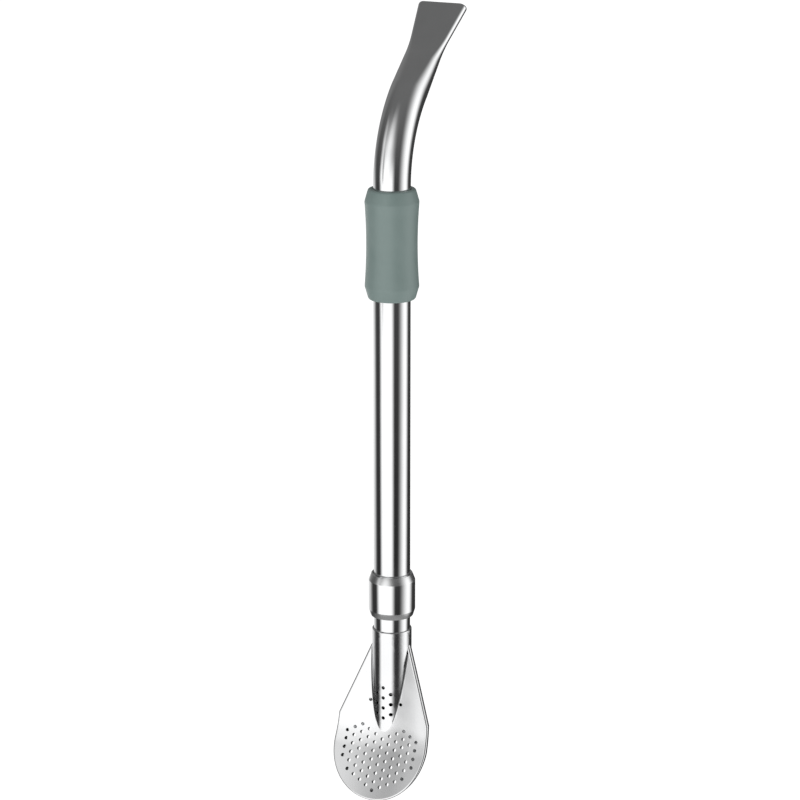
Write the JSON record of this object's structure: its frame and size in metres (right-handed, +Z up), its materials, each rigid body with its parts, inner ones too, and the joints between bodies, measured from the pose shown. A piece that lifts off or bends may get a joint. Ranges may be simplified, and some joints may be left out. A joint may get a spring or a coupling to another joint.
{
  "type": "spoon bombilla",
  "caption": "Metal drinking straw for mate with a bent, flattened mouthpiece, a soft grip sleeve, a union nut and a perforated spoon filter that comes off for cleaning.",
  "frame": {"origin": "on the straw's axis at the top face of the union nut, where the bare shank begins", "axes": "+Z up along the straight straw, -Y out of the spoon's hollow face, +Y the way the mouthpiece leans"},
  "size_m": [0.025, 0.0413, 0.1927],
  "materials": {
    "steel": "polished stainless steel",
    "grip_silicone": "matte sage-green silicone",
    "gasket_silicone": "matte clear-white silicone"
  },
  "bodies": {
    "straw": {"straw_tube": "steel", "mouthpiece": "steel", "straw_flange": "steel"},
    "grip": {"grip_sleeve": "grip_silicone"},
    "nut": {"collar_nut": "steel"},
    "head": {"union_gasket": "gasket_silicone", "neck_ferrule": "steel", "neck_tube": "steel", "spoon_front": "steel", "spoon_back": "steel"}
  },
  "joints": [
    {"name": "nut_turn", "type": "hinge", "parent": "straw", "child": "nut", "pos_m": [0, 0, 0], "axis": [0, 0, 1], "range_deg": [0, 2520]},
    {"name": "head_screw", "type": "slide", "parent": "straw", "child": "head", "axis": [0, 0, -1], "range_m": [0, 0.007]},
    {"name": "grip_slide", "type": "slide", "parent": "straw", "child": "grip", "axis": [0, 0, -1], "range_m": [0, 0.069]}
  ],
  "couplings": [
    {"joint": "nut_turn", "follows": "head_screw", "rad_per_m": 6283.2}
  ]
}
